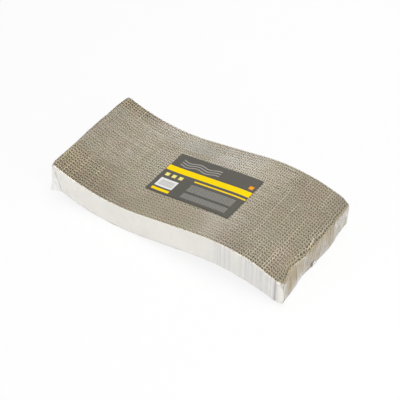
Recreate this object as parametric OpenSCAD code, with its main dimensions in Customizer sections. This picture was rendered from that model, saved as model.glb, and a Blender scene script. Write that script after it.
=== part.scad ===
// Wave-shaped cardboard cat scratcher, packed in clear film with a sticker on top.
// X runs along the length, Y across it, Z up. The origin is on the ground under the middle.
// The near long side is -Y. The high end is -X and the low end is +X.

/* [Block] */
// Length of the block from end to end
block_length = 456; // [430:1:500]
// Height of the boards, measured straight up at any point of the wave
board_height = 50; // [30:1:70]
// Number of corrugated strips side by side
strip_count = 35; // [20:1:50]

/* [Wave] */
// Distance from the high end to the bottom of the valley
valley_x = 130; // [110:1:140]
// Distance from the top of the crest to the low end
crest_reach = 120; // [105:1:130]
// Slope of the straight stretch between valley and crest, in degrees
slope_angle = 9.1; // [7:0.1:11]
// Radius of the valley
valley_radius = 337; // [290:1:380]
// Radius of the crest
crest_radius = 291; // [280:1:330]
// Length of the flat land that the valley rests on
land_length = 16; // [6:1:24]

/* [Corrugated board] */
// Thickness of one strip: a flat liner and the fluted paper glued to it
strip_thickness = 6.27; // [5:0.01:8]
// Thickness of the flat liner
liner_thickness = 0.4; // [0.2:0.05:0.8]
// Thickness of the fluted paper
flute_thickness = 0.3; // [0.15:0.05:0.5]
// Distance from one flute to the next
flute_pitch = 8.5; // [7:0.1:12]
// How far the flutes of one strip are shifted against the next, as a share of the pitch
flute_shift_share = 0.04; // [0:0.01:1]

/* [White side sheets] */
// Thickness of the white paper sheet glued to each long side
side_sheet_thickness = 0.35; // [0.2:0.05:1]

/* [Film] */
// Thickness of the clear film
film_thickness = 0.06; // [0.04:0.01:0.2]
// Thickness of the back seam, where the film lies in three layers
seam_thickness = 0.18; // [0.1:0.01:0.6]
// Width of the back seam
seam_width = 14; // [8:1:30]
// How far the folded ears of the film stand out past the high end
ear_reach = 6; // [2:0.5:12]
// How far the ears hang below the underside at the high end
ear_drop = 7; // [2:0.5:12]
// Length of an ear along the underside
ear_length = 16; // [8:1:30]
// Thickness of a folded ear
ear_thickness = 0.24; // [0.12:0.02:0.5]

/* [Sticker] */
// Length of the sticker, along the block
label_length = 170; // [80:1:200]
// Width of the sticker, across the block
label_width = 107; // [50:1:150]
// Thickness of the sticker
label_thickness = 0.12; // [0.08:0.01:0.3]
// Distance from the middle of the block to the middle of the sticker, towards the low end
label_offset_x = 7; // [-25:1:25]
// Distance from the middle of the block to the middle of the sticker, towards the far side
label_offset_y = 2.6; // [-20:0.2:20]
// Turn of the sticker, seen from above
label_turn = -2.2; // [-8:0.1:8]

/* [Hidden] */
// Facets along each bend of the wave
valley_left_steps = 4;
valley_right_steps = 3;
crest_steps = 7;
// An ear's lowest point lies this share of its length in from the high end
ear_tip_share = 0.25;
// An ear stands out furthest this share of its drop below the underside
ear_reach_share = 0.5;

strips_width = strip_count * strip_thickness;
block_width = strips_width + 2 * side_sheet_thickness;
// The underside of the boards lies this high, on the film and its back seam.
ground_clearance = film_thickness + seam_thickness;

// The underside is two arcs joined by the straight slope that touches both.
crest_x = block_length - crest_reach;
slope_start_x = valley_x + valley_radius * sin(slope_angle);
slope_end_x = crest_x - crest_radius * sin(slope_angle);
slope_start_z = valley_radius * (1 - cos(slope_angle));
slope_end_z = slope_start_z + (slope_end_x - slope_start_x) * tan(slope_angle);
// Height of the underside at the crest above the valley's full arc
crest_rise = slope_end_z + crest_radius * (1 - cos(slope_angle));
// The land is pressed flat, so the block stands this much lower than a full arc would.
land_depth = valley_radius - sqrt(pow(valley_radius, 2) - pow(land_length / 2, 2));

// Height of the underside over its own lowest line, at a distance x from the high end
function wave_z(x) = x < slope_start_x
    ? valley_radius - sqrt(pow(valley_radius, 2) - pow(x - valley_x, 2)) - land_depth
    : x < slope_end_x
    ? slope_start_z + (x - slope_start_x) * tan(slope_angle) - land_depth
    : crest_rise - crest_radius + sqrt(pow(crest_radius, 2) - pow(x - crest_x, 2)) - land_depth;

function steps(from, to, count) = [for (i = [0:count]) from + (to - from) * i / count];

// Stations along the wave: close on the arcs, none on the land or the straight slope
stations = concat(
    steps(0, valley_x - land_length / 2, valley_left_steps),
    steps(valley_x + land_length / 2, slope_start_x, valley_right_steps),
    steps(slope_end_x, block_length, crest_steps)
);

// The ears reach past the high end, so the block sits half of that towards the low end.
block_start = (ear_reach - block_length) / 2;
cut_height = ground_clearance + max([for (x = stations) wave_z(x)]) + 2 * board_height;

function strip_name(i) = str("strip_", i < 10 ? "0" : "", i);

// Height of the line that runs a set distance over the underside. The underside and what lies
// under it never go below the wave's lowest line, where the low end is cut flat.
function line_z(x, over) = ground_clearance + over + (over > 0 ? wave_z(x) : max(wave_z(x), 0));

// Wave outline between two heights over the underside, with the ends pushed out by a skin
module wave_outline(low = 0, high = board_height, skin = 0) {
    last = len(stations) - 1;
    function out_x(i) = block_start + stations[i] + (i == 0 ? -skin : i == last ? skin : 0);
    bottom = [for (i = [0:last]) [out_x(i), line_z(stations[i], low)]];
    top = [for (i = [last:-1:0]) [out_x(i), line_z(stations[i], high)]];
    polygon(concat(bottom, top));
}

// Stands an XZ outline up and stretches it from y_from to y_to
module across(y_from, y_to) {
    translate([0, y_to, 0]) rotate([90, 0, 0]) linear_extrude(y_to - y_from) children();
}

// Fluted paper on its liner, in plan: the cells between them are cut out as triangles, and so
// are the valleys on the open side, which the liner of the next strip closes.
module board_plan(shift) {
    rise = strip_thickness - liner_thickness - flute_thickness;
    lean = atan2(rise, flute_pitch / 2);
    cell_half = flute_pitch / 2 - flute_thickness * tan(lean / 2);
    difference() {
        translate([block_start, 0]) square([block_length, strip_thickness]);
        for (k = [-1:ceil(block_length / flute_pitch) + 1]) {
            tip_x = block_start + (k + shift) * flute_pitch;
            foot_x = tip_x + flute_pitch / 2;
            polygon([
                [tip_x - cell_half, liner_thickness],
                [tip_x + cell_half, liner_thickness],
                [tip_x, liner_thickness + rise]
            ]);
            polygon([
                [tip_x, strip_thickness],
                [tip_x + flute_pitch, strip_thickness],
                [foot_x, strip_thickness - rise]
            ]);
        }
    }
}

// A strip of corrugated board standing on edge, flutes upright, cut to the wave
module strip(i) {
    y = (i - 1) * strip_thickness - strips_width / 2;
    turns = i * flute_shift_share;
    color("burlywood") intersection() {
        across(y, y + strip_thickness) wave_outline();
        translate([0, y, 0]) linear_extrude(cut_height) board_plan(turns - floor(turns));
    }
}

module side_sheet_near() {
    color("whitesmoke") across(-block_width / 2, -strips_width / 2) wave_outline();
}

module side_sheet_far() {
    color("whitesmoke") across(strips_width / 2, block_width / 2) wave_outline();
}

// A folded ear of film, from the upper corner down past the underside at the high end
module ear_outline() {
    end_z = line_z(0, 0);
    polygon([
        [block_start, end_z + board_height],
        [block_start - ear_reach, end_z - ear_drop * ear_reach_share],
        [block_start + ear_length * ear_tip_share, end_z - ear_drop],
        [block_start + ear_length, line_z(ear_length, 0)]
    ]);
}

// Clear film all round the block, with an ear on each side of the high end
module film_wrap() {
    inside = block_width / 2;
    outside = inside + film_thickness;
    color("azure", 0.3) {
        difference() {
            across(-outside, outside)
                wave_outline(-film_thickness, board_height + film_thickness, film_thickness);
            across(-inside, inside) wave_outline();
        }
        across(-outside - ear_thickness, -outside) ear_outline();
        across(outside, outside + ear_thickness) ear_outline();
    }
}

// The welded seam that closes the film, along the middle of the underside
module film_seam() {
    color("azure", 0.5) across(-seam_width / 2, seam_width / 2)
        wave_outline(-film_thickness - seam_thickness, -film_thickness);
}

// Sticker on the film, bent to the wave
module label() {
    film_top = board_height + film_thickness;
    color("dimgray") intersection() {
        across(-block_width / 2, block_width / 2)
            wave_outline(film_top, film_top + label_thickness);
        translate([block_start + block_length / 2 + label_offset_x, label_offset_y, 0])
            rotate([0, 0, label_turn])
                linear_extrude(cut_height) square([label_length, label_width], center = true);
    }
}

for (i = [1:strip_count]) strip(i);
side_sheet_near();
side_sheet_far();
film_wrap();
film_seam();
label();
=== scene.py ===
import math
import random

import bpy
import numpy as np
from mathutils import Matrix, Vector, noise


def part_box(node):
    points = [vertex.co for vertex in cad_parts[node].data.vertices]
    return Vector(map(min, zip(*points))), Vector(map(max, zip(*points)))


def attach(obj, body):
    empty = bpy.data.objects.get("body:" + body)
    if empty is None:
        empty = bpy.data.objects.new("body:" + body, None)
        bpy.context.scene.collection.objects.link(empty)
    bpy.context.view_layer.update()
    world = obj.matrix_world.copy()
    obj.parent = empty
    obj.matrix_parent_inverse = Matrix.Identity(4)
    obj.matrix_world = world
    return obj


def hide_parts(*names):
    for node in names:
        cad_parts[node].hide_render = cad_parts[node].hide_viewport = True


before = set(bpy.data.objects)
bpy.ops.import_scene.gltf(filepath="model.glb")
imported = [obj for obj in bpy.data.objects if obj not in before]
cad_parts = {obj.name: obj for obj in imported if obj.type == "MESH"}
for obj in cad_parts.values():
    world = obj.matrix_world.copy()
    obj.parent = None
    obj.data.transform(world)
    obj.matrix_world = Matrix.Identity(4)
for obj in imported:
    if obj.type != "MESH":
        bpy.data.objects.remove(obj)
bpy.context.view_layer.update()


# The boards: 35 strips of single-faced kraft board stand on edge side by side, flutes upright.
# One die cuts them all to the same wave, and glue on the flute tips holds each to the next. The
# packing film has crushed their low end a little.
STRIP_COUNT = 35
BOARD_HEIGHT = 0.050
# The wave: how far the valley and the crest are from their ends of the pad, the radii of both arcs,
# the flat land under the valley, and the slope between the arcs
VALLEY_REACH = 0.130
CREST_REACH = 0.120
VALLEY_RADIUS = 0.337
CREST_RADIUS = 0.291
LAND_LENGTH = 0.016
SLOPE = math.radians(9.1)

block_low, block_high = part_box("side_sheet_near")[0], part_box("side_sheet_far")[1]
high_end_x, low_end_x = block_low.x, block_high.x
half_width = block_high.y
ground_gap = block_low.z
valley_x = high_end_x + VALLEY_REACH
crest_x = low_end_x - CREST_REACH


def mix(first, second, share):
    """The first value at share 0, the second at share 1, and a straight change between them"""
    return first + (second - first) * share


def soft_step(start, end, value):
    """0 before the start, 1 past the end, and a soft rise between them"""
    share = np.clip((value - start) / (end - start), 0, 1)
    return share * share * (3 - 2 * share)


def soft_span(rise, fall, value):
    """1 between a soft rise and a soft fall, each given by its start and its end"""
    return soft_step(*rise, value) * (1 - soft_step(*fall, value))


def towards_low_end(start, end, x):
    """0 until one distance from the low end, 1 from a nearer one on, and a soft rise between them"""
    return soft_step(low_end_x - start, low_end_x - end, x)


def wave(x):
    """Height of the wave's underside over the floor: an arc, a straight slope and an arc"""
    slope_start = valley_x + VALLEY_RADIUS * math.sin(SLOPE)
    slope_end = crest_x - CREST_RADIUS * math.sin(SLOPE)
    foot = VALLEY_RADIUS * (1 - math.cos(SLOPE))
    head = foot + (slope_end - slope_start) * math.tan(SLOPE)
    crest = head + CREST_RADIUS * (1 - math.cos(SLOPE))
    land = VALLEY_RADIUS - math.sqrt(VALLEY_RADIUS**2 - (LAND_LENGTH / 2) ** 2)
    in_valley = np.minimum(x, slope_start) - valley_x
    in_crest = np.maximum(x, slope_end) - crest_x
    valley_z = VALLEY_RADIUS - np.sqrt(VALLEY_RADIUS**2 - in_valley**2)
    slope_z = foot + (x - slope_start) * math.tan(SLOPE)
    crest_z = crest - CREST_RADIUS + np.sqrt(CREST_RADIUS**2 - in_crest**2)
    z = np.where(x < slope_start, valley_z, np.where(x < slope_end, slope_z, crest_z))
    return ground_gap + z - land


def underside(x):
    """Height of the boards' underside, cut flat where the wave would pass through the floor"""
    return np.maximum(wave(x), ground_gap)


# The film's pull on the low end. The foot gives way unevenly across the pad.
PRESS_REACH = 0.030
FOOT_ACROSS = (0, 0.15, 0.33, 0.48, 0.60, 0.68, 0.80, 0.90, 1)
FOOT_PRESS = (0.0016, 0.0022, 0.0050, 0.0024, 0, -0.0012, 0, 0.0020, 0.0012)
# The top edge has a dent, at a share of the width, and drops most where it is dented.
DENT_DEPTH = 0.010
DENT_AT = 0.21
DENT_SPREAD = 0.13
DENT_FOOT = 0.2
EDGE_DROP = 0.008
EDGE_DROP_REACH = 0.020
UNDENTED_DROP = 0.5
# The corners: how far they go out and in at shares of their height, and how far the foot lifts
CORNER_FOLD = 0.013
CORNER_SPREAD = 0.009
CORNER_UP = (0, 0.08, 0.3, 0.7, 0.85, 1)
CORNER_OUT = (-0.0016, 0.0012, 0.0030, 0.0012, -0.0030, -0.0085)
CORNER_IN = (0.0025, 0.0025, 0.0025, 0.0020, 0.0030, 0.0044)
CORNER_LIFT = 0.0028
FAR_CORNER_SHARE = 0.1
# The near side is squeezed from above and below, over a width and a reach with soft ends.
NEAR_SINK = 0.0025
NEAR_LIFT = 0.0015
SQUEEZE_WIDTH = (0.02, 0.07)
SQUEEZE_REACH = (0.055, 0.02)
# The rounding of the high end's top corners: how far in and down, over which length and width
HIGH_CORNER = (0.0014, 0.0012)
HIGH_CORNER_LENGTH = 0.006
HIGH_CORNER_WIDTH = 0.008


def press_ends(points, share_up):
    """Moves points where the film has pressed the block. At the low end the foot is pushed in and
    the top edge is dented and crushed down. At its corners the last stretch of the side is creased
    and turned in, its foot is lifted and its top is cut back; the near side is squeezed. The top
    corners of the high end are rounded."""
    x, y = points[:, 0].copy(), points[:, 1].copy()
    up = np.clip(share_up, 0, 1)
    across = (y + half_width) / (2 * half_width)
    from_side = half_width - np.abs(y)
    dent = DENT_DEPTH * np.exp(-(((across - DENT_AT) / DENT_SPREAD) ** 2)) * soft_step(DENT_FOOT, 1, up)
    foot = np.interp(across, FOOT_ACROSS, FOOT_PRESS) * (1 - up)
    boards_x = -(dent + foot) * towards_low_end(PRESS_REACH, 0, x)
    rounding = towards_low_end(EDGE_DROP_REACH, 0, x) ** 2 * up**2
    boards_z = -EDGE_DROP * mix(UNDENTED_DROP, 1, dent / DENT_DEPTH) * rounding
    corner = (1 - soft_step(0, CORNER_SPREAD, from_side)) * np.where(y < 0, 1, FAR_CORNER_SHARE)
    past_fold = np.clip((x - low_end_x) / CORNER_FOLD + 1, 0, 1)
    corner_x = np.interp(up, CORNER_UP, CORNER_OUT) * past_fold
    corner_y = -np.sign(y) * np.interp(up, CORNER_UP, CORNER_IN) * past_fold
    corner_z = CORNER_LIFT * (1 - up) ** 4 * past_fold
    squeeze = (NEAR_LIFT * (1 - up) - NEAR_SINK * up) * (1 - soft_step(*SQUEEZE_WIDTH, y + half_width))
    squeeze *= towards_low_end(*SQUEEZE_REACH, x)
    rounded = 1 - soft_step(0, HIGH_CORNER_LENGTH, x - high_end_x)
    rounded = rounded * (1 - soft_step(0, HIGH_CORNER_WIDTH, from_side)) * up**3
    points[:, 0] += mix(boards_x, corner_x, corner) + HIGH_CORNER[0] * rounded
    points[:, 1] += corner * corner_y
    points[:, 2] += mix(boards_z, corner_z, corner) + squeeze - HIGH_CORNER[1] * rounded


# How far from the low end the flutes are crushed and where they are fully so. The far side and the
# very end are crushed less.
CRUSH_REACH = 0.018
CRUSH_FULL_REACH = 0.3 * CRUSH_REACH
FAR_SIDE_CRUSH = 0.4
VERY_END = (0.004, 0.001)
VERY_END_CRUSH = 0.2


def crush(x, y):
    """How far the film has crushed the flutes at a place in plan: 1 along the low end's edge"""
    far_side = mix(1, FAR_SIDE_CRUSH, soft_step(0, half_width / 2, y))
    very_end = mix(1, VERY_END_CRUSH, towards_low_end(*VERY_END, x))
    return towards_low_end(CRUSH_REACH, CRUSH_FULL_REACH, x) * far_side * very_end


# How dark and grey the boards are, and where: at the low end, along the near edge away from its middle,
# and along the far edge past the middle and at the high end. Pairs are the starts and ends of soft steps.
END_WEAR = 0.9
END_WEAR_REACH = 1.5 * CRUSH_REACH
NEAR_WEAR = 0.55
NEAR_WEAR_MIDDLE = 0.02
NEAR_WEAR_FROM_MIDDLE = (0.07, 0.13)
NEAR_WEAR_WIDTH = (0.005, 0.05)
FAR_WEAR = 0.6
FAR_WEAR_START = (-0.03, 0.01)
FAR_WEAR_END = (0.10, 0.14)
FAR_WEAR_HIGH_END = (-0.18, -0.15)
FAR_WEAR_WIDTH = (0.006, 0.025)


def wear(x, y):
    """How dark and grey the boards are at a place in plan: at the low end and the long edges"""
    at_end = END_WEAR * towards_low_end(END_WEAR_REACH, CRUSH_FULL_REACH, x)
    near = NEAR_WEAR * soft_step(*NEAR_WEAR_FROM_MIDDLE, np.abs(x - NEAR_WEAR_MIDDLE))
    near = near * (1 - soft_step(*NEAR_WEAR_WIDTH, half_width + y))
    far = soft_span(FAR_WEAR_START, FAR_WEAR_END, x) + 1 - soft_step(*FAR_WEAR_HIGH_END, x)
    far = far * FAR_WEAR * (1 - soft_step(*FAR_WEAR_WIDTH, half_width - y))
    return np.maximum.reduce([crush(x, y), at_end, near, far])


# The cut edges: depths below the top edge and the paper's thickness there as a share. The die
# leaves a burr, smaller towards the ends of the pad, and the crush widens it.
BOARD_ROWS = ((0, 2.6), (0.0006, 2.4), (0.0012, 1), (0.012, 1), (None, 1))
BURR_AT_ENDS = 0.5
BURR_FADE = (0.06, 0.18)
CRUSH_SPREAD = 1.2
WIDEST_SPREAD = 1.8
# Ragged lines that the blade left: waves per metre along and across the block, how high a wave is
# before it shows, how far from the middle of the pad they start, and how wide they make the burr
RAGGED_WAVES = (300, 8)
RAGGED_FROM = (0.2, 0.5)
RAGGED_START = (0.06, 0.14)
RAGGED_SPREAD = 0.7
# How far the crush frays the top edge and pushes the paper aside, and the waves per metre of both
CRUSH_FRAY = 0.0016
CRUSH_FRAY_WAVES = (260, 40)
CRUSH_SHIFT = 0.0022
CRUSH_SHIFT_WAVES = (150, 150)


def plan_noise(x, y, waves, seed):
    """Smooth noise at places in plan, with so many waves per metre along and across"""
    return np.array([noise.noise(Vector((waves[0] * a, waves[1] * b, seed))) for a, b in zip(x, y)])


def upright_paper(x, y, thickness, rows, top_lift):
    """Points and faces of a paper that stands on edge along a path in plan, which faces are cut
    edges and how dark and grey each is. Each row has its depth under the top edge, or None for the
    underside, and the share of the thickness that the paper has there if it isn't crushed."""
    count = len(x)
    mashed = crush(x, y)
    from_middle = np.abs(x)
    ragged = plan_noise(x, y, RAGGED_WAVES, seed=21.5)
    ragged = soft_step(*RAGGED_FROM, ragged) * soft_step(*RAGGED_START, from_middle)
    spread = mix(1, BURR_AT_ENDS, soft_step(*BURR_FADE, from_middle)) + CRUSH_SPREAD * mashed
    spread = np.minimum(spread + RAGGED_SPREAD * ragged, WIDEST_SPREAD)
    top_lift = top_lift + CRUSH_FRAY * mashed * plan_noise(x, y, CRUSH_FRAY_WAVES, seed=3.5)
    shift = [CRUSH_SHIFT * mashed * plan_noise(x, y, CRUSH_SHIFT_WAVES, seed) for seed in (7.5, 47.5)]
    x, y = x + shift[0], np.clip(y + shift[1], -half_width, half_width)
    run = np.stack([np.gradient(x), np.gradient(y)], 1)
    run /= np.linalg.norm(run, axis=1, keepdims=True)
    points, shares = [], []
    for depth, thickness_share in rows:
        top = wave(x) + BOARD_HEIGHT + top_lift
        z = underside(x) if depth is None else top - depth
        for side in (-0.5, 0.5):
            offset = side * thickness * mix(1, thickness_share, spread)
            points.append(np.stack([x - offset * run[:, 1], y + offset * run[:, 0], z], 1))
            shares.append((z - underside(x)) / (top - underside(x)))
    points, shares = np.concatenate(points), np.concatenate(shares)
    press_ends(points, shares)
    k = np.arange(count - 1)
    faces, cuts = [], []

    def add(a, b, c, d, cut):
        faces.append(np.stack([a, b, c, d], 1))
        cuts.append(np.full(len(a), float(cut)))

    def at(row, side, index):
        return (row * 2 + side) * count + index

    last = len(rows) - 1
    for row in range(last):
        add(at(row, 1, k), at(row, 1, k + 1), at(row + 1, 1, k + 1), at(row + 1, 1, k), False)
        add(at(row, 0, k + 1), at(row, 0, k), at(row + 1, 0, k), at(row + 1, 0, k + 1), False)
        for end, first, second in ((0, 0, 1), (count - 1, 1, 0)):
            e = np.array([end])
            add(at(row, first, e), at(row, second, e), at(row + 1, second, e), at(row + 1, first, e), True)
    add(at(0, 0, k), at(0, 0, k + 1), at(0, 1, k + 1), at(0, 1, k), True)
    add(at(last, 1, k), at(last, 1, k + 1), at(last, 0, k + 1), at(last, 0, k), True)
    faces = np.concatenate(faces)
    return points, faces, np.concatenate(cuts), wear(x, y)[faces[:, 0] % count]


def mesh_piece(name, points, faces, smooth=True, **marks):
    """A mesh object from points and faces; each mark is a number on every face or every point"""
    mesh = bpy.data.meshes.new(name)
    mesh.from_pydata(points.tolist(), [], [list(f) for f in faces])
    for mark, values in marks.items():
        domain = "POINT" if len(values) == len(points) else "FACE"
        numbers = np.asarray(values, np.float32)
        mesh.attributes.new(mark, "FLOAT", domain).data.foreach_set("value", numbers)
    mesh.polygons.foreach_set("use_smooth", [smooth] * len(mesh.polygons))
    mesh.update()
    piece = bpy.data.objects.new(name, mesh)
    bpy.context.scene.collection.objects.link(piece)
    return piece


def put(tree, kind, inputs=None, **settings):
    """Adds a node; an input is given a value, or the socket that it is linked from"""
    made = tree.nodes.new("ShaderNode" + kind)
    for key, value in settings.items():
        setattr(made, key, value)
    for key, value in (inputs or {}).items():
        if isinstance(value, bpy.types.NodeSocket):
            tree.links.new(value, made.inputs[key])
        else:
            made.inputs[key].default_value = value
    return made


def start_group(name, inputs, outputs):
    """A shader node group with the named inputs and outputs, and its two end nodes"""
    tree = bpy.data.node_groups.new(name, "ShaderNodeTree")
    for socket, (kind, value) in inputs.items():
        made = tree.interface.new_socket(socket, in_out="INPUT", socket_type="NodeSocket" + kind)
        if value is not None:
            made.default_value = value
    for socket, kind in outputs.items():
        tree.interface.new_socket(socket, in_out="OUTPUT", socket_type="NodeSocket" + kind)
    return tree, tree.nodes.new("NodeGroupInput").outputs, tree.nodes.new("NodeGroupOutput").inputs


def start_material(name):
    """A material with its output node, and its object coordinates in metres"""
    material = bpy.data.materials.new(name)
    material.use_nodes = True
    tree = material.node_tree
    tree.nodes.clear()
    place = put(tree, "TexCoord").outputs["Object"]
    return material, tree, place, put(tree, "OutputMaterial").inputs["Surface"]


def put_group(tree, group, inputs):
    """Places a node group in a material, with its own values"""
    return put(tree, "Group", inputs, node_tree=group).outputs


def calc(tree, operation, *values, clamp=False):
    """The result of one calculation"""
    return put(tree, "Math", dict(enumerate(values)), operation=operation, use_clamp=clamp).outputs[0]


def lay_over(tree, share, under, over, blend="MIX"):
    """A colour laid over another one, as far as a share says"""
    return put(tree, "Mix", {0: share, 6: under, 7: over}, data_type="RGBA", blend_type=blend).outputs[2]


def read_mark(tree, name):
    """The number that a mesh carries under this name"""
    return put(tree, "Attribute", attribute_name=name).outputs["Fac"]


# Paper fibres, for the kraft boards, the white sheets and the sticker: clouds and fine flecks
paper_fibres, given, result = start_group(
    "paper_fibres",
    {"Place": ("Vector", None), "Fleck Size": ("Float", 0.001), "Cloud Size": ("Float", 0.02)},
    {"Tone": "Float", "Height": "Float"},
)
fleck_scale = calc(paper_fibres, "DIVIDE", 1.0, given["Fleck Size"])
cloud_scale = calc(paper_fibres, "DIVIDE", 1.0, given["Cloud Size"])
flecks = put(paper_fibres, "TexNoise", {"Vector": given["Place"], "Scale": fleck_scale, "Detail": 4.0})
clouds = put(paper_fibres, "TexNoise", {"Vector": given["Place"], "Scale": cloud_scale, "Detail": 3.0})
both = calc(paper_fibres, "ADD", flecks.outputs[0], clouds.outputs[0])
spread = put(paper_fibres, "MapRange", {"Value": both, "From Min": 0.7, "From Max": 1.3})
paper_fibres.links.new(spread.outputs[0], result["Tone"])
paper_fibres.links.new(flecks.outputs[0], result["Height"])

# Kraft paper: brown and fibrous, paler on its cut edges, faintly stained, and darker and greyer at the
# low end and along parts of the long edges. The last three colours are laid over the others as stains.
KRAFT_DARK = (0.685, 0.55, 0.366, 1)
KRAFT_PALE = (0.835, 0.72, 0.525, 1)
KRAFT_CUT = (0.90, 0.82, 0.65, 1)
CUT_SHARE = 0.85
KRAFT_OLIVE = (0.96, 1.0, 0.92, 1)
KRAFT_ROSE = (1.0, 0.96, 0.95, 1)
KRAFT_WORN = (0.725, 0.70, 0.605, 1)

kraft_board, tree, place, surface = start_material("kraft_board")
fibres = put_group(tree, paper_fibres, {"Place": place, "Fleck Size": 0.0011, "Cloud Size": 0.016})
toned = calc(tree, "ADD", fibres["Tone"], read_mark(tree, "tone"), clamp=True)
colour = lay_over(tree, toned, KRAFT_DARK, KRAFT_PALE)
colour = lay_over(tree, calc(tree, "MULTIPLY", read_mark(tree, "cut"), CUT_SHARE), colour, KRAFT_CUT)
stains = put(tree, "TexNoise", {"Vector": place, "Scale": 32.0, "Detail": 2.0})
stains = put(tree, "MapRange", {"Value": stains.outputs[0], "From Min": 0.35, "From Max": 0.65})
stain = lay_over(tree, stains.outputs[0], KRAFT_OLIVE, KRAFT_ROSE)
stain = lay_over(tree, read_mark(tree, "worn"), stain, KRAFT_WORN)
colour = lay_over(tree, 1.0, colour, stain, blend="MULTIPLY")
grain = put(tree, "Bump", {"Strength": 0.5, "Distance": 0.0002, "Height": fibres["Height"]})
paper = put(tree, "BsdfPrincipled", {
    "Base Color": colour, "Roughness": 0.85, "Specular IOR Level": 0.25, "Normal": grain.outputs[0],
})
tree.links.new(paper.outputs[0], surface)

# The papers of one strip: a flat liner, and a fluted paper whose last flute is folded flat
LINER_THICKNESS = 0.00035
FLUTE_THICKNESS = 0.00050
FLUTE_PITCH = 0.0085
FLUTE_STEPS = 12
LINER_STEPS = FLUTE_STEPS // 3
FLUTE_STEEPNESS = 3.0
END_FOLD = 0.0006
# Where the flutes of a strip lie against the last one's, in turns: a steady drift, a random step,
# now and then a jump, and a slow wobble with so many waves per metre and per strip
PHASE_DRIFT = 0.02
PHASE_WALK = 0.025
PHASE_JUMP = 0.3
PHASE_JUMP_CHANCE = 0.08
PHASE_WOBBLE = 0.13
WOBBLE_WAVES = (13, 0.3)
# How unlike the strips are in height, in length and in tone, and the fray of their top edges
HEIGHT_JITTER = 0.00025
FRAY_WAVES = (900, 1)
END_JITTER = 0.0012
TONE_JITTER = 0.18

dice = random.Random(11)
phase = 0.0
flute_count = round((low_end_x - high_end_x) / FLUTE_PITCH)
plan_x = np.linspace(high_end_x, low_end_x, flute_count * FLUTE_STEPS + 1)
for number in range(1, STRIP_COUNT + 1):
    strip_name = f"strip_{number:02d}"
    strip_low, strip_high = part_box(strip_name)
    phase += dice.gauss(PHASE_DRIFT, PHASE_WALK)
    if dice.random() < PHASE_JUMP_CHANCE:
        phase += dice.uniform(-PHASE_JUMP, PHASE_JUMP)
    lift = dice.uniform(-HEIGHT_JITTER, HEIGHT_JITTER)
    strip_x = plan_x - dice.uniform(0, END_JITTER) * towards_low_end(FLUTE_PITCH, 0, plan_x)
    valley_y = strip_low.y + LINER_THICKNESS + FLUTE_THICKNESS / 2
    tip_y = strip_high.y - FLUTE_THICKNESS / 2
    wobble = plan_noise(strip_x, np.full(len(strip_x), number), WOBBLE_WAVES, seed=8.5)
    turns = (strip_x - high_end_x) / FLUTE_PITCH - phase + PHASE_WOBBLE * wobble
    bends = np.tanh(FLUTE_STEEPNESS * np.cos(2 * math.pi * turns)) / math.tanh(FLUTE_STEEPNESS)
    flute_y = (valley_y + tip_y) / 2 + (tip_y - valley_y) / 2 * bends
    # The last flute is folded flat across the strip's end
    nearer, farther = (tip_y, valley_y) if bends[-1] > 0 else (valley_y, tip_y)
    flute_x = np.append(strip_x, [strip_x[-1] - END_FOLD, strip_x[-1]])
    flute_y = np.append(flute_y, [nearer, farther])
    fray = plan_noise(flute_x, np.full(len(flute_x), number), FRAY_WAVES, seed=0.5) * HEIGHT_JITTER
    flute_points, flute_faces, flute_cuts, flute_wear = upright_paper(
        flute_x, flute_y, FLUTE_THICKNESS, BOARD_ROWS, lift + fray
    )
    liner_x = strip_x[::LINER_STEPS]
    liner_y = np.full(len(liner_x), strip_low.y + LINER_THICKNESS / 2)
    liner_lift = lift + fray[: len(strip_x) : LINER_STEPS] - HEIGHT_JITTER / 2
    liner_points, liner_faces, liner_cuts, liner_wear = upright_paper(
        liner_x, liner_y, LINER_THICKNESS, BOARD_ROWS, liner_lift
    )
    strip_cuts = np.concatenate([flute_cuts, liner_cuts])
    strip = mesh_piece(
        strip_name + "_board",
        np.concatenate([flute_points, liner_points]),
        np.concatenate([flute_faces, liner_faces + len(flute_points)]),
        smooth=False,
        cut=strip_cuts,
        worn=np.concatenate([flute_wear, liner_wear]),
        tone=np.full(len(strip_cuts), dice.uniform(-TONE_JITTER, TONE_JITTER)),
    )
    strip.data.materials.append(kraft_board)
    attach(strip, "root")
    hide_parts(strip_name)


# The white side sheets: smooth paper glued flat against the outermost strips. The flutes behind
# print through them as faint upright ridges, most of all towards the crushed low end, and grey
# streaks of painted shade there stand in for the ridges' shading.
SHEET_THICKNESS = 0.00035
SHEET_STEP = 0.0010
SHEET_DEPTHS = (
    0, 0.0004, 0.0012, 0.003, 0.006, 0.009, 0.013, 0.018, 0.025, 0.032, 0.038, 0.043, 0.047, None,
)
# The ridges grow from a share of their height towards the low end. A groove runs up the corner
# crease with a painted shade line along it, and the sheet beyond the crease is painted lighter as a
# highlight.
RIDGE_HEIGHT = 0.00030
LEAST_RIDGE = 0.35
RIDGE_GROWTH = (0.02, 0.15)
GROOVE_DEPTH = 0.00025
GROOVE_SPREAD = 1.8 * SHEET_STEP
FLAP_EDGE = (0.8 * CORNER_FOLD, 0.4 * CORNER_FOLD)
# Painted shade: grey upright streaks near the low end, for the shading of the ridges: their width,
# how often they change on their way up, their usual tone and how far it varies, and a stretch where
# they are faint
STREAK_WIDTH = 0.0026
STREAK_WAVES_UP = 6
STREAK_TONE = 0.30
STREAK_CONTRAST = 0.9
STREAKS_START = (0.085, 0.12)
FAINT_STRETCH_X = 0.143
FAINT_STRETCH_SPREAD = 0.012
FAINTNESS = 0.7
SHEET_WHITE = (0.86, 0.84, 0.79, 1)
SHEET_SHADE = (0.79, 0.77, 0.73, 1)
# A painted shade: the grey of the upright streaks
SHEET_STREAK = (0.66, 0.64, 0.65, 1)
# A painted shade: the grey line along the corner crease
SHEET_CREASE = (0.44, 0.40, 0.43, 1)
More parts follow.
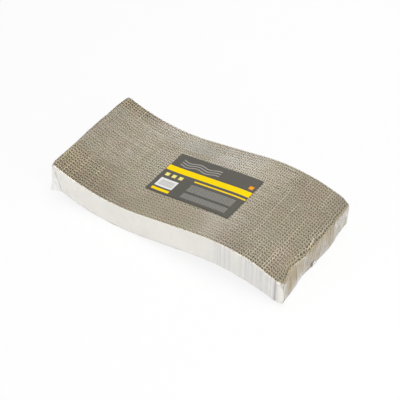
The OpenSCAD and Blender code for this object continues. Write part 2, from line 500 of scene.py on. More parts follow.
# The top edge's creamy colour: partly the paper's cut edge and partly a painted highlight
SHEET_CREAM = (0.92, 0.88, 0.76, 1)
# A painted highlight: the sheet past the corner crease is painted lighter, as its turned facet catches the
# light
SHEET_FLAP = (0.92, 0.90, 0.85, 1)
CREAM_DEPTH = 0.001

white_paper, tree, place, surface = start_material("white_paper")
fibres = put_group(tree, paper_fibres, {"Place": place, "Fleck Size": 0.0015, "Cloud Size": 0.045})
colour = lay_over(tree, fibres["Tone"], SHEET_SHADE, SHEET_WHITE)
for mark, mark_colour in (
    ("streak", SHEET_STREAK), ("flap", SHEET_FLAP), ("fold", SHEET_CREASE), ("cream", SHEET_CREAM),
):
    colour = lay_over(tree, read_mark(tree, mark), colour, mark_colour)
grain = put(tree, "Bump", {"Strength": 0.25, "Distance": 0.0001, "Height": fibres["Height"]})
paper = put(tree, "BsdfPrincipled", {
    "Base Color": colour, "Roughness": 0.55, "Specular IOR Level": 0.4, "Normal": grain.outputs[0],
})
tree.links.new(paper.outputs[0], surface)

sheet_x = np.arange(high_end_x, low_end_x + SHEET_STEP / 2, SHEET_STEP)
ridge = RIDGE_HEIGHT * mix(LEAST_RIDGE, 1, soft_step(*RIDGE_GROWTH, sheet_x))
# Where the crease lies, for its groove and for its painted shade line
at_fold = np.exp(-(((sheet_x - low_end_x + CORNER_FOLD) / GROOVE_SPREAD) ** 2))
# Painted highlight: how far the sheet past the crease is painted lighter
flap = towards_low_end(*FLAP_EDGE, sheet_x)
faint = FAINTNESS * np.exp(-(((sheet_x - FAINT_STRETCH_X) / FAINT_STRETCH_SPREAD) ** 2))
streaked = soft_step(*STREAKS_START, sheet_x) * (1 - faint) * (sheet_x < low_end_x - CORNER_FOLD)
rows = [(depth, 1) for depth in SHEET_DEPTHS]
layers = 2 * len(rows)
# The top millimetre of the sheet is painted creamy: the cut edge's own colour and a painted highlight
cream = np.repeat([depth is not None and depth < CREAM_DEPTH for depth in SHEET_DEPTHS], 2 * len(sheet_x))
flutes = (1 + np.cos(2 * math.pi * (sheet_x - high_end_x) / FLUTE_PITCH)) / 2
for sheet_name, side in (("side_sheet_near", -1), ("side_sheet_far", 1)):
    sheet_y = side * (half_width - SHEET_THICKNESS / 2)
    sheet_y = sheet_y + side * ridge * flutes
    sheet_y = sheet_y - side * GROOVE_DEPTH * at_fold
    points, faces, _, _ = upright_paper(sheet_x, sheet_y, SHEET_THICKNESS, rows, 0)
    # Painted shade: grey upright streaks standing in for the shading of the ridges
    grey = [noise.noise(Vector((x / STREAK_WIDTH, side, STREAK_WAVES_UP * z))) for x, _, z in points]
    grey = np.tile(streaked, layers) * np.clip(STREAK_TONE + STREAK_CONTRAST * np.array(grey), 0, 1)
    sheet = mesh_piece(
        sheet_name + "_paper", points, faces,
        cream=cream, flap=np.tile(flap, layers), fold=np.tile(at_fold, layers), streak=grey,
    )
    sheet.data.materials.append(white_paper)
    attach(sheet, "root")
    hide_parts(sheet_name)


# The packing film: one clear tube pulled tight round the block and closed over both ends. It
# bridges the valley a little and is crumpled over both ends. A glare is painted into it as white
# streaks over the far half of the valley, and a painted highlight runs along its long top edges. On
# the high end it looks milky. Over the crest it is dull.
FILM_STEP = 0.0022
FILM_GAP = 0.0005
FILM_CORNER = 0.0012
CORNER_STEPS = 3
END_RINGS = 14
# Under the block the film hangs by a share of the gap to the ground and stays above another share.
# Where it faces down as far as this, it has no folds.
HANG_SHARE = 0.25
LOWEST_SHARE = 0.7
FACING_DOWN = -0.5


def ring_profile():
    """The film's section: y, the share of the top's height, an offset, and the outward
    direction, for each point round the block"""
    y_in = half_width + FILM_GAP - FILM_CORNER
    across = np.linspace(-y_in, y_in, round(2 * y_in / FILM_STEP) + 1)
    up = np.linspace(0, 1, round(BOARD_HEIGHT / FILM_STEP) + 1)
    turn = np.linspace(0, math.pi / 2, CORNER_STEPS + 2)[1:-1]
    arc = np.stack([np.sin(turn), np.cos(turn)], 1)

    def corner(y_middle, share, out_y, out_z):
        return [(y_middle + FILM_CORNER * b, share, FILM_CORNER * c, b, c) for b, c in zip(out_y, out_z)]

    rows = [(y, 0, -FILM_CORNER, 0, -1) for y in across]
    rows += corner(y_in, 0, arc[:, 0], -arc[:, 1])
    rows += [(y_in + FILM_CORNER, s, 0, 1, 0) for s in up]
    rows += corner(y_in, 1, arc[:, 1], arc[:, 0])
    rows += [(y, 1, FILM_CORNER, 0, 1) for y in across[::-1]]
    rows += corner(-y_in, 1, -arc[:, 0], arc[:, 1])
    rows += [(-y_in - FILM_CORNER, s, 0, -1, 0) for s in up[::-1]]
    rows += corner(-y_in, 0, -arc[:, 1], -arc[:, 0])
    return np.array(rows)


profile = ring_profile()
turn = np.linspace(0, math.pi / 2, CORNER_STEPS + 2)
run_x = np.linspace(high_end_x, low_end_x, round((low_end_x - high_end_x) / FILM_STEP) + 1)
# Each ring has its x, how far it is drawn in towards the middle of an end, and which end it faces
rings = [(high_end_x - FILM_GAP, BOARD_HEIGHT / 2 * (1 - k / END_RINGS), -1) for k in range(END_RINGS)]
rings += [
    (high_end_x - FILM_GAP * math.cos(a), FILM_CORNER * (1 - math.sin(a)), -math.cos(a)) for a in turn[:-1]
]
rings += [(x, 0, 0) for x in run_x]
rings += [
    (low_end_x + FILM_GAP * math.sin(a), FILM_CORNER * (1 - math.cos(a)), math.sin(a)) for a in turn[1:]
]
rings += [(low_end_x + FILM_GAP, BOARD_HEIGHT / 2 * (k + 1) / END_RINGS, 1) for k in range(END_RINGS)]
rings = np.array(rings)

ring_x, drawn_in, facing = (column[:, None] for column in rings.T)
inner_x = np.clip(ring_x, high_end_x, low_end_x)
foot_z = underside(inner_x)
head_z = wave(inner_x) + BOARD_HEIGHT
base_y = np.broadcast_to(profile[:, 0], (len(rings), len(profile)))
edge_z = foot_z + FILM_CORNER - HANG_SHARE * ground_gap
base_z = edge_z + (head_z + FILM_GAP - FILM_CORNER - edge_z) * profile[:, 1] + profile[:, 2]
middle_z = (foot_z + head_z) / 2
middle_y = np.clip(base_y, -half_width + BOARD_HEIGHT / 2, half_width - BOARD_HEIGHT / 2)
inward = drawn_in / (BOARD_HEIGHT / 2)
film_y = base_y + (middle_y - base_y) * inward
film_z = base_z + (middle_z - base_z) * inward
film_x = np.broadcast_to(ring_x, film_y.shape)
film_points = np.stack([film_x, film_y, film_z], 2).reshape(-1, 3).copy()
face_out = np.broadcast_to(facing, film_y.shape).reshape(-1)
side_out = np.sqrt(1 - face_out**2)
out_y = np.broadcast_to(profile[:, 3], film_y.shape).reshape(-1) * side_out
out_z = np.broadcast_to(profile[:, 4], film_y.shape).reshape(-1) * side_out
outward = np.stack([face_out, out_y, out_z], 1)
share_up = ((film_z - foot_z) / (head_z - foot_z)).reshape(-1)
held_x, held_y = film_points[:, 0].copy(), film_points[:, 1].copy()
share_y = held_y / half_width
on_top = np.clip(out_z, 0, 1)
on_side = np.abs(out_y)
end_face = np.abs(face_out)

# How the film stands off the boards: it bridges the valley, is folded all over in its own way on
# the top, the sides and the ends, lies closer under the sticker, and bulges on the high end. Folds
# have their waves per metre along X, Y and Z.
VALLEY_BRIDGE = 0.0005
BRIDGE_SHIFT = 0.03
BRIDGE_REACH = 0.13
LABEL_MARGIN = 0.012
UNDER_LABEL_SHARE = 0.15
TOP_FOLD_HEIGHT = 0.00035
TOP_FOLD_WAVES = (14, 95, 14)
SIDE_FOLD_HEIGHT = 0.0006
SIDE_FOLD_WAVES = (38, 38, 22)
SIDE_FOLDS_START = (0.015, 0.030)
LOW_CRUMPLE = 0.0011
HIGH_CRUMPLE = 0.0009
CRUMPLE_WAVES = (30, 34, 10)
LOW_END_REACH = 0.035
HIGH_END_REACH = 0.030
ROUND_END_SHARE = 0.25
HIGH_BULGE = 0.0020
BULGE_RISE = (-0.7, 0)
BULGE_FALL = (0.7, 0.95)
# Each finer set of folds has so many times the waves and this share of the height. Where their sum
# reaches the range it counts as 1. The seed moves a set of folds along X, Y and Z.
FINER = 2.1
FINER_HEIGHT = 0.45
FOLD_RANGE = 1.6
SEED_SPREAD = (1, 1.7, 2.3)


def folds(points, waves, seed, octaves):
    """Sharp-ridged folds from 0 to 1, the same on each run"""
    shift = Vector([seed * spread for spread in SEED_SPREAD])
    heights = np.empty(len(points))
    for index, point in enumerate(points * np.array(waves)):
        at, size, total = Vector(point) + shift, 1.0, 0.0
        for _ in range(octaves):
            total += size * (1 - 2 * abs(noise.noise(at)))
            at, size = at * FINER, size * FINER_HEIGHT
        heights[index] = total
    return np.clip(heights / FOLD_RANGE, 0, 1)


under_label = 1
for place, low, high in zip((held_x, held_y), *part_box("label")):
    under_label = under_label * soft_span((low - LABEL_MARGIN, low), (high, high + LABEL_MARGIN), place)
low_end = towards_low_end(LOW_END_REACH, 0, held_x)
high_end = 1 - soft_step(0, HIGH_END_REACH, held_x - high_end_x)
in_valley = soft_step(0, 1, 1 - np.abs(held_x - valley_x - BRIDGE_SHIFT) / BRIDGE_REACH)
top_folds = folds(film_points, TOP_FOLD_WAVES, seed=3.1, octaves=2)
side_folds = folds(film_points, SIDE_FOLD_WAVES, seed=7.7, octaves=3)
crumple = folds(film_points, CRUMPLE_WAVES, seed=12.3, octaves=2)
rise = VALLEY_BRIDGE * in_valley + TOP_FOLD_HEIGHT * top_folds
rise = on_top * rise * mix(1, UNDER_LABEL_SHARE, under_label)
side_rise = SIDE_FOLD_HEIGHT * side_folds**2 * soft_step(*SIDE_FOLDS_START, held_x - high_end_x)
rise = rise + on_side * side_rise
round_end = ROUND_END_SHARE * (1 - end_face) * (1 - np.clip(-out_z, 0, 1))
rise = rise + crumple * (end_face + round_end) * (LOW_CRUMPLE * low_end + HIGH_CRUMPLE * high_end)
rise = rise + HIGH_BULGE * np.clip(-face_out, 0, 1) * soft_span(BULGE_RISE, BULGE_FALL, share_y)
rise[out_z < FACING_DOWN] = 0
press_ends(film_points, share_up)
film_points += outward * rise[:, None]
film_points[:, 2] = np.maximum(film_points[:, 2], LOWEST_SHARE * ground_gap)

ring_count, round_count = film_y.shape
ring_index, round_index = np.meshgrid(np.arange(ring_count - 1), np.arange(round_count), indexing="ij")
next_round = (round_index + 1) % round_count
film_faces = np.stack([
    ring_index * round_count + round_index,
    ring_index * round_count + next_round,
    (ring_index + 1) * round_count + next_round,
    (ring_index + 1) * round_count + round_index,
], 2).reshape(-1, 4)
# How white the film is. On both ends it is clouded, most at the corners, which start at a share of
# the half width. The sides are whitened on their sharpest folds, and a painted white highlight runs
# along the long top edges.
CLOUD_WAVES = (30, 30, 9)
END_WHITE = (0.05, 0.70)
CORNER_WHITE = (0.15, 0.85)
FAR_CORNER_FROM = 0.45
NEAR_CORNER_FROM = 0.80
FAR_CORNER_WHITE = 0.65
NEAR_CORNER_WHITE = 0.8
HIGH_END_WHITE = 0.8
SIDE_WHITE = 0.3
EDGE_WHITE = 1.2
# A painted reflection over the far half of the valley: white streaks of glare, densest in one patch.
SLACK_START = (0.10, 0.155)
SLACK_END = (-0.05, 0.02)
SLACK_ACROSS = (0.1, 0.85)
SLACK_WHITE = (0.30, 0.75)
CORE_MIDDLE = (-0.052, 0.085)
CORE_SPREAD = (0.080, 0.020)
CORE_WHITE = (0.25, 1.05)
STREAK_WAVES = (9, 120, 9)
# The milky patch on the high end, and the dull film over the crest, which is clearer towards the
# near side and over the crushed edge
MILKY_WHITE = 0.52
MILKY_END = (-0.15, -0.09)
MILKY_RISE = (-0.07, -0.02)
MILKY_FALL = (0.075, 0.10)
DULL_WHITE = 0.35
DULL_START = (0.02, 0.10)
NEAR_SIDE_DULL = 0.35
CRUSHED_EDGE_DULL = 0.4
WHITEST = 1.4

clouded = folds(film_points, CLOUD_WAVES, seed=31.7, octaves=3)
streaks = folds(film_points, STREAK_WAVES, seed=4.4, octaves=2)
far_corner = soft_step(FAR_CORNER_FROM, 1, share_y)
near_corner = soft_step(NEAR_CORNER_FROM, 1, -share_y)
at_corners = FAR_CORNER_WHITE * far_corner + NEAR_CORNER_WHITE * near_corner
crease = mix(*END_WHITE, clouded**2) + mix(*CORNER_WHITE, clouded) * at_corners
crease = crease * end_face * (low_end + HIGH_END_WHITE * high_end)
# The long top edges get a painted highlight line
crease = crease + SIDE_WHITE * side_folds**4 * on_side + EDGE_WHITE * on_side * on_top
# The painted glare: white painted into the film where it would reflect the light
slack = soft_step(*SLACK_START, held_x - high_end_x) * (1 - soft_step(*SLACK_END, held_x))
slack = on_top * slack * soft_step(*SLACK_ACROSS, share_y)
core_x = (held_x - CORE_MIDDLE[0]) / CORE_SPREAD[0]
core_y = (held_y - CORE_MIDDLE[1]) / CORE_SPREAD[1]
core = on_top * np.exp(-(core_x**2) - core_y**2)
milky = on_top * (1 - soft_step(*MILKY_END, held_x)) * soft_span(MILKY_RISE, MILKY_FALL, held_y)
dull = on_top * soft_step(*DULL_START, held_x) * mix(NEAR_SIDE_DULL, 1, soft_step(-1, 0, share_y))
dull = dull * mix(1, CRUSHED_EDGE_DULL, towards_low_end(CRUSH_REACH, 0, held_x))
crease = crease + slack * mix(*SLACK_WHITE, streaks**2) + core * mix(*CORE_WHITE, streaks)
crease = crease + MILKY_WHITE * milky + DULL_WHITE * dull

# The haze takes a veil colour over the boards and on the low end, and greys in the densest patch of
# the painted glare and at the very high end.
FILM_CLEAR = (0.96, 0.97, 0.98, 1)
FILM_VEIL = (0.61, 0.565, 0.48, 1)
FILM_GREY = (0.475, 0.46, 0.405, 1)
PATCH_VEIL = 2.5
END_VEIL = (0.12, 0.50)
GREY_REACH = 0.045
WHITE_COVER = 0.7

veil = PATCH_VEIL * (slack + milky) + dull + on_side * on_top
veil = veil + end_face * low_end * mix(*END_VEIL, far_corner + near_corner)
grey = np.maximum(core, milky * (1 - soft_step(0, GREY_REACH, held_x - high_end_x)))
film = mesh_piece(
    "film_wrap_skin", film_points, film_faces,
    crease=np.clip(crease, 0, WHITEST), veil=np.clip(veil, 0, 1), grey=grey,
)

film_wrinkles, given, result = start_group(
    "film_wrinkles",
    {"Place": ("Vector", None), "Size": ("Float", 0.02), "Stretch": ("Float", 3.0)},
    {"Height": "Float", "Haze": "Float"},
)
stretch = put(film_wrinkles, "CombineXYZ", {0: 1.0, 1: given["Stretch"], 2: 1.0})
pulled = put(film_wrinkles, "VectorMath", {0: given["Place"], 1: stretch.outputs[0]}, operation="MULTIPLY")
scale = calc(film_wrinkles, "DIVIDE", 1.0, given["Size"])
ripples = put(film_wrinkles, "TexNoise", {
    "Vector": pulled.outputs[0], "Scale": scale, "Detail": 5.0, "Roughness": 0.6, "Distortion": 0.6,
})
ridge_size = calc(film_wrinkles, "ABSOLUTE", calc(film_wrinkles, "SUBTRACT", ripples.outputs[0], 0.5))
haze = put(film_wrinkles, "MapRange", {
    "Value": ridge_size, "From Min": 0.0, "From Max": 0.05, "To Min": 1.0, "To Max": 0.0,
})
film_wrinkles.links.new(ripples.outputs[0], result["Height"])
film_wrinkles.links.new(haze.outputs[0], result["Haze"])

clear_film, tree, place, surface = start_material("clear_film")
wrinkles = put_group(tree, film_wrinkles, {"Place": place, "Size": 0.03, "Stretch": 4.0})
gloss = put(tree, "Fresnel", {"IOR": 1.45})
streaks = put(tree, "MapRange", {"Value": wrinkles["Haze"], "To Min": 0.55, "To Max": 1.0})
white_share = calc(tree, "MULTIPLY", read_mark(tree, "crease"), streaks.outputs[0])
white_share = calc(tree, "MULTIPLY", white_share, WHITE_COVER, clamp=True)
roughness = put(tree, "MapRange", {"Value": white_share, "To Min": 0.14, "To Max": 0.6})
bend = put(tree, "Bump", {"Strength": 0.35, "Distance": 0.0006, "Height": wrinkles["Height"]})
haze = lay_over(tree, read_mark(tree, "veil"), FILM_CLEAR, FILM_VEIL)
haze = lay_over(tree, read_mark(tree, "grey"), haze, FILM_GREY)
skin = put(tree, "BsdfPrincipled", {
    "Base Color": haze, "Metallic": calc(tree, "SUBTRACT", 1.0, white_share),
    "Roughness": roughness.outputs[0], "Normal": bend.outputs[0],
    "Alpha": calc(tree, "ADD", gloss.outputs[0], white_share, clamp=True),
})
tree.links.new(skin.outputs[0], surface)

film.data.materials.append(clear_film)
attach(film, "root")
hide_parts("film_wrap")


# The film's spare corners at the high end: flat ears of doubled film that hang down past the
# underside, one on each side, creased and whitened where they were folded.
EAR_LENGTH = 0.016
EAR_TIP_DROP = 0.0145
EAR_BOTTOM = (-0.0006, 0.0108)
EAR_EDGE_DOWN = (0, 0.055, 0.16, 0.66, 0.78, 0.91, 1)
EAR_EDGE_OUT = (0.0005, 0.0005, 0.0012, 0.0043, 0.0068, 0.0088, 0.0105)
EAR_EDGE_BULGE = 0.0034
EAR_STAND = 1.1 * FILM_GAP
EAR_FOLD = 0.00025
EAR_BULGE = 0.0005
EAR_BULGE_STEEPNESS = 1.4
EAR_GRID = (32, 12)
EAR_SHARP_ANGLE = math.radians(40)
FOLDED_SHADE = (0.82, 0.82, 0.80, 1)
FOLDED_WHITE = (0.86, 0.86, 0.85, 1)

folded_film, tree, place, surface = start_material("folded_film")
wrinkles = put_group(tree, film_wrinkles, {"Place": place, "Size": 0.015, "Stretch": 1.0})
cover = put(tree, "MapRange", {"Value": wrinkles["Haze"], "To Min": 0.86, "To Max": 0.94})
bend = put(tree, "Bump", {"Strength": 0.1, "Distance": 0.0002, "Height": wrinkles["Height"]})
skin = put(tree, "BsdfPrincipled", {
    "Base Color": lay_over(tree, wrinkles["Haze"], FOLDED_SHADE, FOLDED_WHITE), "Roughness": 0.45,
    "Specular IOR Level": 0.3, "Alpha": cover.outputs[0], "Normal": bend.outputs[0],
})
tree.links.new(skin.outputs[0], surface)


def thin_sheet(lower, upper):
    """Points and faces of a closed thin sheet between two grids of points"""
    rows, columns = lower.shape[:2]
    i, j = np.meshgrid(np.arange(rows - 1), np.arange(columns - 1), indexing="ij")
    first = (i * columns + j).reshape(-1)
    cells = np.stack([first, first + columns, first + columns + 1, first + 1], 1)
    over = rows * columns
    rim = [i * columns for i in range(rows)]
    rim += [(rows - 1) * columns + j for j in range(1, columns)]
    rim += [i * columns + columns - 1 for i in range(rows - 2, -1, -1)]
    rim += list(range(columns - 2, 0, -1))
    walls = [(a, b, b + over, a + over) for a, b in zip(rim, rim[1:] + rim[:1])]
    faces = np.concatenate([cells[:, ::-1], cells + over, np.array(walls)])
    a, b, d = lower[0, 0], lower[1, 0], lower[0, 1]
    if np.dot(np.cross(b - a, d - a), upper[0, 0] - a) < 0:
        faces = faces[:, ::-1]
    return np.concatenate([lower.reshape(-1, 3), upper.reshape(-1, 3)]), faces


end_foot, end_top = float(underside(high_end_x)), float(wave(high_end_x)) + BOARD_HEIGHT
joint = (high_end_x + EAR_LENGTH, float(underside(high_end_x + EAR_LENGTH)) + FILM_CORNER)
bottom = (high_end_x + EAR_BOTTOM[0], end_foot - EAR_BOTTOM[1])
down, over = np.meshgrid(*(np.linspace(0, 1, count) for count in EAR_GRID), indexing="ij")
left = [
    high_end_x - np.interp(down, EAR_EDGE_DOWN, EAR_EDGE_OUT),
    end_top - FILM_CORNER + (end_foot - EAR_TIP_DROP - end_top + FILM_CORNER) * down,
]
right = [joint[k] + (bottom[k] - joint[k]) * down for k in (0, 1)]
right[0] = right[0] + EAR_EDGE_BULGE * np.sin(math.pi * down)
ear_x, ear_z = (left[k] + (right[k] - left[k]) * over for k in (0, 1))
swell = np.sin(math.pi * np.clip(EAR_BULGE_STEEPNESS * over, 0, 1)) * np.sin(math.pi * down)
inner_y = np.full_like(swell, half_width + EAR_STAND)
outer_y = half_width + EAR_STAND + EAR_FOLD + EAR_BULGE * swell
for side_name, side in (("near", -1), ("far", 1)):
    inner, outer = (np.stack([ear_x, side * ear_y, ear_z], 2) for ear_y in (inner_y, outer_y))
    points, faces = thin_sheet(inner, outer)
    ear = mesh_piece("film_ear_" + side_name, points, faces)
    ear.data.set_sharp_from_angle(angle=EAR_SHARP_ANGLE)
    ear.data.materials.append(folded_film)
    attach(ear, "root")
    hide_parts("film_wrap")


# The back seam: the film's edges are welded together in a flat crimped band, which lies under
# the middle of the block.
SEAM_RIB = 0.003
SEAM_STEP = SEAM_RIB / 4
SEAM_COLUMNS = 9
SEAM_CRIMP = 0.00006
SEAM_THICKNESS = 0.00017
SEAM_FLOOR_GAP = 0.00002

seam_low, seam_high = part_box("film_seam")
seam_y = np.linspace(seam_low.y, seam_high.y, SEAM_COLUMNS)
seam_x = np.arange(seam_low.x, seam_high.x, SEAM_STEP)
seam_levels = []
for offset in (0, SEAM_THICKNESS):
    crimp = SEAM_CRIMP * (1 + np.cos(2 * math.pi * seam_x / SEAM_RIB)) / 2 * (offset == 0)
    level = np.maximum(underside(seam_x) - ground_gap + offset - crimp, SEAM_FLOOR_GAP + offset)
    seam_levels.append(np.stack(np.broadcast_arrays(seam_x[:, None], seam_y[None, :], level[:, None]), 2))
for level in seam_levels:
    flat = level.reshape(-1, 3)
    press_ends(flat, np.zeros(len(flat)))

# The seam's end: the same welded band, not pressed down by the block, stands out at the foot of
# the low end as a short crumpled tail.
TAIL_MIDDLE = -0.006
TAIL_WIDTH = 0.012
TAIL_TAPER = 0.3
TAIL_HEIGHT = 0.009
TAIL_FOOT = 2 * ground_gap
TAIL_OUT = 3 * FILM_GAP
TAIL_STAND = 0.0015
TAIL_CRINKLE = 0.0024
TAIL_CRINKLE_WAVES = (90, 160, 110)
TAIL_GRID = (14, 16)
TAIL_WHITE = 0.8

tail_up, tail_across = np.meshgrid(
    np.linspace(0, 1, TAIL_GRID[0]), np.linspace(-0.5, 0.5, TAIL_GRID[1]), indexing="ij"
)
tail_y = TAIL_MIDDLE + TAIL_WIDTH * tail_across * (1 - TAIL_TAPER * tail_up)
tail_z = TAIL_FOOT + TAIL_HEIGHT * tail_up
flat = np.stack([np.full_like(tail_y, low_end_x), tail_y, tail_z], 2).reshape(-1, 3)
crinkle = folds(flat, TAIL_CRINKLE_WAVES, seed=6.6, octaves=2).reshape(tail_y.shape) - 0.5
tail_x = low_end_x + TAIL_OUT + TAIL_STAND * np.sin(math.pi * tail_up) + TAIL_CRINKLE * crinkle
tail_levels = [np.stack([tail_x + step, tail_y, tail_z], 2) for step in (0, SEAM_THICKNESS)]
for level in tail_levels:
    flat = level.reshape(-1, 3)
    press_ends(flat, flat[:, 2] / BOARD_HEIGHT)
for piece_name, levels, material in (
    ("film_seam_band", seam_levels, folded_film), ("film_seam_tail", tail_levels, clear_film),
):
    points, faces = thin_sheet(*levels)
    seam = mesh_piece(piece_name, points, faces, crease=np.full(len(points), TAIL_WHITE))
    seam.data.materials.append(material)
    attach(seam, "root")
    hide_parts("film_seam")


# The sticker: a label of half-gloss printed paper with its own glue, stuck to the film between the
# valley and the crest and bent to the wave. Its print is a plain layout of bands, bars and boxes.
LABEL_LENGTH = 0.170
LABEL_WIDTH = 0.107
LABEL_OFFSET = (0.009, 0.0010)
LABEL_TURN = math.radians(-2.2)
LABEL_LIFT = 0.0006
LABEL_THICKNESS = 0.00012
LABEL_STEP = 0.002

u_values = np.linspace(0, LABEL_LENGTH, round(LABEL_LENGTH / LABEL_STEP) + 1)
v_values = np.linspace(0, LABEL_WIDTH, round(LABEL_WIDTH / LABEL_STEP) + 1)
u, v = np.meshgrid(u_values, v_values, indexing="ij")
du, dv = u - LABEL_LENGTH / 2, v - LABEL_WIDTH / 2
label_x = (high_end_x + low_end_x) / 2 + LABEL_OFFSET[0]
label_x = label_x + du * math.cos(LABEL_TURN) - dv * math.sin(LABEL_TURN)
label_y = LABEL_OFFSET[1] + du * math.sin(LABEL_TURN) + dv * math.cos(LABEL_TURN)
label_z = wave(label_x) + BOARD_HEIGHT + FILM_GAP + LABEL_LIFT
lower = np.stack([label_x, label_y, label_z], 2)
points, faces = thin_sheet(lower, lower + np.array([0, 0, LABEL_THICKNESS]))
label = mesh_piece(
    "sticker", points, faces, along=np.tile(u.reshape(-1), 2), across=np.tile(v.reshape(-1), 2)
)

box_mask, given, result = start_group(
    "box_mask",
    {
        "Along": ("Float", 0.0), "Across": ("Float", 0.0), "Middle Along": ("Float", 0.0),
        "Middle Across": ("Float", 0.0), "Length": ("Float", 0.01), "Width": ("Float", 0.01),
    },
    {"Mask": "Float"},
)
insides = []
for axis, middle, size in (("Along", "Middle Along", "Length"), ("Across", "Middle Across", "Width")):
    away = calc(box_mask, "ABSOLUTE", calc(box_mask, "SUBTRACT", given[axis], given[middle]))
    insides.append(calc(box_mask, "LESS_THAN", away, calc(box_mask, "MULTIPLY", given[size], 0.5)))
box_mask.links.new(calc(box_mask, "MULTIPLY", *insides), result["Mask"])

printed_label, tree, place, surface = start_material("printed_label")
along_mark, across_mark = read_mark(tree, "along"), read_mark(tree, "across")


def on_box(middle, size):
    """1 on a box of the sticker and 0 beside it"""
    return put_group(tree, box_mask, {
        "Along": along_mark, "Across": across_mark, "Middle Along": middle[0], "Middle Across": middle[1],
        "Length": size[0], "Width": size[1],
    })["Mask"]


def print_box(under, ink, middle, size, stripes=None):
    """Prints a plain box over the colour below it, or evenly spaced stripes inside that box"""
    mask = on_box(middle, size)
    if stripes:
        mark, pitch, share = stripes
        part = calc(tree, "FRACT", calc(tree, "DIVIDE", mark, pitch))
        mask = calc(tree, "MULTIPLY", mask, calc(tree, "LESS_THAN", part, share))
    return lay_over(tree, mask, under, ink)


def print_wave(under, ink, height):
    """Prints a wavy line over part of the sticker, at a height from its near edge"""
    swing = calc(tree, "SINE", calc(tree, "MULTIPLY", along_mark, 2 * math.pi / WAVE_LENGTH))
    line = calc(tree, "MULTIPLY_ADD", swing, WAVE_SWING, height)
    away = calc(tree, "ABSOLUTE", calc(tree, "SUBTRACT", across_mark, line))
    on_line = calc(tree, "LESS_THAN", away, WAVE_THICKNESS / 2)
    limit = on_box((WAVES_MIDDLE, height), (WAVES_LENGTH, WAVE_BAND))
    return lay_over(tree, calc(tree, "MULTIPLY", on_line, limit), under, ink)


LABEL_GROUND = (0.108, 0.102, 0.088, 1)
LABEL_GROUND_PALE = (0.12096, 0.11424, 0.09856, 1)
LABEL_YELLOW = (1.0, 0.69, 0.0, 1)
LABEL_PALE = (0.86, 0.78, 0.22, 1)
LABEL_WHITE = (0.80, 0.80, 0.78, 1)
LABEL_GREY = (0.37, 0.36, 0.33, 1)
LABEL_ORANGE = (0.90, 0.36, 0.01, 1)
# Stripes: the direction in which they follow each other, their pitch and the inked share of it
LINES = (across_mark, 0.0026, 0.4)
BARS = (along_mark, 0.0028, 0.45)
# The printed boxes, in the order of printing: the ink, the middle along and across from the
# sticker's near left corner, the length and width, and the stripes if it has them
LABEL_BOXES = (
    (LABEL_YELLOW, (LABEL_LENGTH / 2, 0.0655), (LABEL_LENGTH, 0.013), None),
    (LABEL_YELLOW, (0.118, 0.0515), (0.104, 0.003), None),
    (LABEL_GREY, (0.112, 0.035), (0.090, 0.018), LINES),
    (LABEL_GREY, (0.112, 0.014), (0.090, 0.012), LINES),
    (LABEL_PALE, (0.012, 0.048), (0.008, 0.008), None),
    (LABEL_PALE, (0.026, 0.048), (0.008, 0.008), None),
    (LABEL_PALE, (0.040, 0.048), (0.008, 0.008), None),
    (LABEL_WHITE, (0.026, 0.026), (0.036, 0.022), None),
    (LABEL_GREY, (0.026, 0.026), (0.028, 0.014), BARS),
    (LABEL_YELLOW, (0.026, 0.008), (0.036, 0.006), None),
    (LABEL_ORANGE, (0.161, 0.082), (0.008, 0.008), None),
)
# The wavy lines: how long one wave is and how far it swings, how thick the line is, and where the
# lines lie along and across the sticker
WAVE_LENGTH = 0.040
WAVE_SWING = 0.0022
WAVE_THICKNESS = 0.0022
WAVE_BAND = 0.020
WAVES_MIDDLE = 0.055
WAVES_LENGTH = 0.080
WAVE_HEIGHTS = (0.080, 0.086, 0.092)

fibres = put_group(tree, paper_fibres, {"Place": place, "Fleck Size": 0.002, "Cloud Size": 0.05})
print_so_far = lay_over(tree, fibres["Tone"], LABEL_GROUND, LABEL_GROUND_PALE)
for ink, middle, size, stripes in LABEL_BOXES:
    print_so_far = print_box(print_so_far, ink, middle, size, stripes)
for height in WAVE_HEIGHTS:
    print_so_far = print_wave(print_so_far, LABEL_GREY, height)
sticker_paper = put(tree, "BsdfPrincipled", {
    "Base Color": print_so_far, "Roughness": 0.34, "Specular IOR Level": 0.05,
})
tree.links.new(sticker_paper.outputs[0], surface)
label.data.materials.append(printed_label)
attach(label, "root")
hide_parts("label")


# The studio: a pale floor that glows a little for the camera, a white surround, large soft lights,
# and the photograph's camera. None of it is part of the pad.
FLOOR_SIZE = 8.0
FLOOR_SHADE = (0.88, 0.88, 0.88, 1)
FLOOR_WHITE = (0.92, 0.92, 0.92, 1)
FLOOR_GLOW = 0.86
SURROUND = 0.33

square = np.array([(-1, -1, 0), (1, -1, 0), (1, 1, 0), (-1, 1, 0)])
floor = mesh_piece("floor", square * FLOOR_SIZE / 2, [(0, 1, 2, 3)], smooth=False)


def seen_directly(tree):
    """1 for what the camera sees, straight, in gloss or through glass, and 0 for light that falls"""
    path = put(tree, "LightPath").outputs
    seen = calc(tree, "MAXIMUM", path["Is Camera Ray"], path["Is Glossy Ray"])
    return calc(tree, "MAXIMUM", seen, path["Is Transmission Ray"])


floor_white, tree, place, surface = start_material("floor_white")
clouds = put(tree, "TexNoise", {"Vector": place, "Scale": 3.0, "Detail": 2.0})
matt = put(tree, "BsdfDiffuse", {"Color": lay_over(tree, clouds.outputs[0], FLOOR_SHADE, FLOOR_WHITE)})
glow = put(tree, "Emission", {"Color": (1, 1, 1, 1), "Strength": 1.0})
glow_share = calc(tree, "MULTIPLY", seen_directly(tree), FLOOR_GLOW)
mixed = put(tree, "MixShader", {0: glow_share, 1: matt.outputs[0], 2: glow.outputs[0]})
tree.links.new(mixed.outputs[0], surface)
floor.data.materials.append(floor_white)

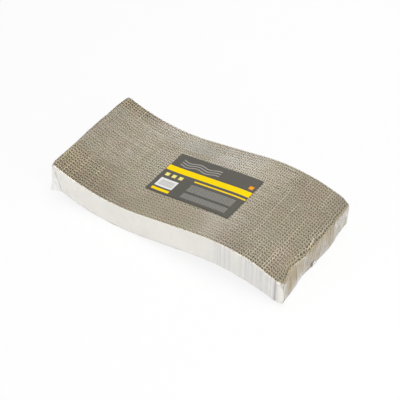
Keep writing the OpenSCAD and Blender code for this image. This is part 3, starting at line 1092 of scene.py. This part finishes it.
world = bpy.data.worlds.new("studio")
bpy.context.scene.world = world
world.use_nodes = True
tree = world.node_tree
tree.nodes.clear()
strength = put(tree, "MapRange", {"Value": seen_directly(tree), "To Min": SURROUND, "To Max": 1.0})
sky = put(tree, "Background", {"Color": (1, 1, 1, 1), "Strength": strength.outputs[0]})
tree.links.new(sky.outputs[0], put(tree, "OutputWorld").inputs["Surface"])

# The lights: the direction from the pad, the distance, the length and height, and the power
AIM = Vector((0, 0, 0.04))
SOFTBOXES = (
    ("valley_softbox", (-0.380, 0.714, 0.588), 1.7, (0.85, 0.62), 2.2),
    ("front_softbox", (-0.12, -1.0, 0.2), 1.8, (1.6, 0.6), 13.2),
    ("right_softbox", (0.85, -0.40, 0.75), 1.8, (0.8, 0.8), 7.0),
    ("end_softbox", (1.0, -0.20, 0.12), 1.8, (0.8, 0.5), 6.0),
    ("top_softbox", (0.1, 0.1, 1.0), 1.8, (1.1, 1.1), 16.0),
    ("back_softbox", (-0.1, 1.0, 0.15), 1.8, (1.4, 0.5), 6.0),
)
for light_name, direction, distance, size, power in SOFTBOXES:
    lamp = bpy.data.lights.new(light_name, "AREA")
    lamp.shape = "RECTANGLE"
    lamp.size, lamp.size_y = size
    lamp.energy = power
    softbox = bpy.data.objects.new(light_name, lamp)
    softbox.location = AIM + Vector(direction).normalized() * distance
    softbox.rotation_euler = (AIM - softbox.location).to_track_quat("-Z", "Y").to_euler()
    bpy.context.scene.collection.objects.link(softbox)

# The camera stands to the right of the block's near corner at the high end, up and back from it,
# by these distances in its own directions.
CAMERA_TURN = math.radians(33.76)
CAMERA_RAISE = math.radians(43.85)
CAMERA_ROLL = math.radians(-0.20)
CAMERA_FROM_CORNER = (0.25159, -0.00629, 1.84294)
CAMERA_LENS = 94.73
CAMERA_SENSOR = 36

level_right = Vector((math.cos(CAMERA_TURN), math.sin(CAMERA_TURN), 0))
back = Vector((
    math.sin(CAMERA_TURN) * math.cos(CAMERA_RAISE),
    -math.cos(CAMERA_TURN) * math.cos(CAMERA_RAISE),
    math.sin(CAMERA_RAISE),
))
level_up = back.cross(level_right)
right = level_right * math.cos(CAMERA_ROLL) + level_up * math.sin(CAMERA_ROLL)
up = level_up * math.cos(CAMERA_ROLL) - level_right * math.sin(CAMERA_ROLL)
eye = Vector((high_end_x, -half_width, 0))
for distance, direction in zip(CAMERA_FROM_CORNER, (right, up, back)):
    eye = eye + direction * distance
camera_data = bpy.data.cameras.new("camera")
camera_data.lens = CAMERA_LENS
camera_data.sensor_width = CAMERA_SENSOR
camera = bpy.data.objects.new("camera", camera_data)
camera.matrix_world = Matrix.Translation(eye) @ Matrix((right, up, back)).transposed().to_4x4()
bpy.context.scene.collection.objects.link(camera)
bpy.context.scene.camera = camera
bpy.context.scene.view_settings.view_transform = "Standard"
